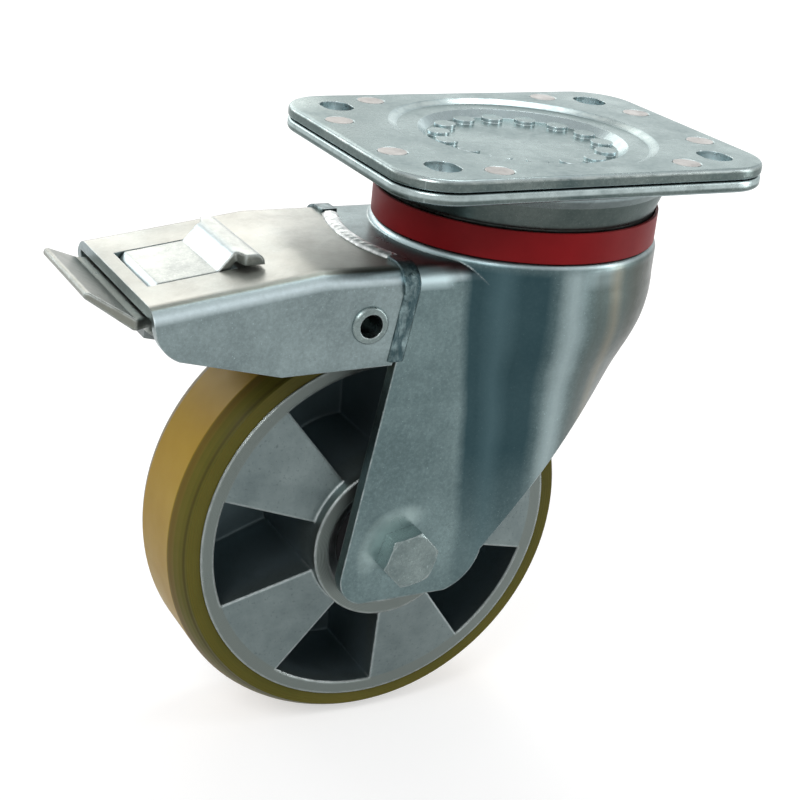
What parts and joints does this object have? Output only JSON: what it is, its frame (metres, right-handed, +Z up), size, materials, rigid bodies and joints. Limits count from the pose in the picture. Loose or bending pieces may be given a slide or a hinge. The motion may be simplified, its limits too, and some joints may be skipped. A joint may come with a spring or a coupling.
{
  "type": "swivel castor",
  "caption": "Plate-mounted swivel castor with a pressed steel fork, spoked wheel, double ball race and a lever brake that also locks the swivel.",
  "frame": {"origin": "middle of the mounting plate's top face", "axes": "+Z up, along the swivel axis; -X towards the trailing wheel and the brake pedal; Y along the axle, with the bolt's head at -Y"},
  "size_m": [0.2307, 0.11, 0.21],
  "materials": {
    "zinc_plated_steel": "semi-gloss zinc plating",
    "weld_metal": "plated weld bead",
    "bearing_steel": "ground and polished",
    "bare_steel": "drawn or turned steel",
    "cast_aluminium": "satin, machined on the hub and rim",
    "polyurethane": "smooth cast polyurethane, slightly clear",
    "red_seal": "moulded",
    "friction_rubber": "matte",
    "black_rubber": "matte moulded"
  },
  "bodies": {
    "plate": {"top_plate": "zinc_plated_steel", "lower_plate": "zinc_plated_steel", "plate_studs": "zinc_plated_steel"},
    "upper_ball_set": {"upper_ball_ring": "bearing_steel"},
    "lower_ball_set": {"lower_ball_ring": "bearing_steel"},
    "fork_body": {"fork": "zinc_plated_steel", "seal_ring": "red_seal", "brake_cover": "zinc_plated_steel", "weld_top": "weld_metal", "weld_near": "weld_metal", "weld_far": "weld_metal", "tube_rivet": "zinc_plated_steel", "axle_bolt": "zinc_plated_steel", "axle_nut": "zinc_plated_steel", "axle_washer": "zinc_plated_steel", "axle_sleeve": "bare_steel", "axle_spacer_near": "zinc_plated_steel", "axle_spacer_far": "zinc_plated_steel", "bearing_spacer": "bare_steel", "bearing_inner_near": "bearing_steel", "bearing_inner_far": "bearing_steel", "lever_pin": "zinc_plated_steel", "pin_bracket_near": "zinc_plated_steel", "pin_bracket_far": "zinc_plated_steel", "pivot_spacer_near": "zinc_plated_steel", "pivot_spacer_far": "zinc_plated_steel", "lock_guide": "zinc_plated_steel", "lock_spring": "bare_steel", "arm_spring": "bare_steel"},
    "wheel": {"wheel_core": "cast_aluminium", "tyre": "polyurethane", "bearing_outer_near": "bearing_steel", "bearing_outer_far": "bearing_steel", "bearing_seal_near": "black_rubber", "bearing_seal_far": "black_rubber"},
    "brake_lever": {"brake_lever": "zinc_plated_steel"},
    "brake_arm": {"brake_arm": "zinc_plated_steel", "brake_pad": "friction_rubber"},
    "lock_slide": {"lock_plate": "zinc_plated_steel", "lock_collar": "zinc_plated_steel"}
  },
  "joints": [
    {"name": "swivel", "type": "hinge", "parent": "plate", "child": "fork_body", "pos_m": [0, 0, 0], "axis": [0, 0, 1], "continuous": true},
    {"name": "upper_balls_roll", "type": "hinge", "parent": "plate", "child": "upper_ball_set", "pos_m": [0, 0, 0], "axis": [0, 0, 1], "continuous": true},
    {"name": "lower_balls_roll", "type": "hinge", "parent": "plate", "child": "lower_ball_set", "pos_m": [0, 0, 0], "axis": [0, 0, 1], "continuous": true},
    {"name": "wheel_spin", "type": "hinge", "parent": "fork_body", "child": "wheel", "pos_m": [-0.052, 0, -0.135], "axis": [0, 1, 0], "continuous": true},
    {"name": "pedal", "type": "hinge", "parent": "fork_body", "child": "brake_lever", "pos_m": [-0.126, 0, -0.05], "axis": [0, -1, 0], "range_deg": [0, 16]},
    {"name": "arm_pivot", "type": "hinge", "parent": "fork_body", "child": "brake_arm", "pos_m": [-0.0726, 0, -0.051], "axis": [0, -1, 0], "range_deg": [0, 3]},
    {"name": "lock_lift", "type": "slide", "parent": "fork_body", "child": "lock_slide", "axis": [0, 0, 1], "range_m": [0, 0.0026], "deforming": ["lock_spring"]}
  ],
  "couplings": [
    {"joint": "upper_balls_roll", "follows": "swivel", "ratio": 0.5},
    {"joint": "lower_balls_roll", "follows": "swivel", "ratio": 0.5},
    {"joint": "arm_pivot", "follows": "pedal", "ratio": 0.1875},
    {"joint": "lock_lift", "follows": "pedal", "m_per_rad": 0.00931}
  ]
}
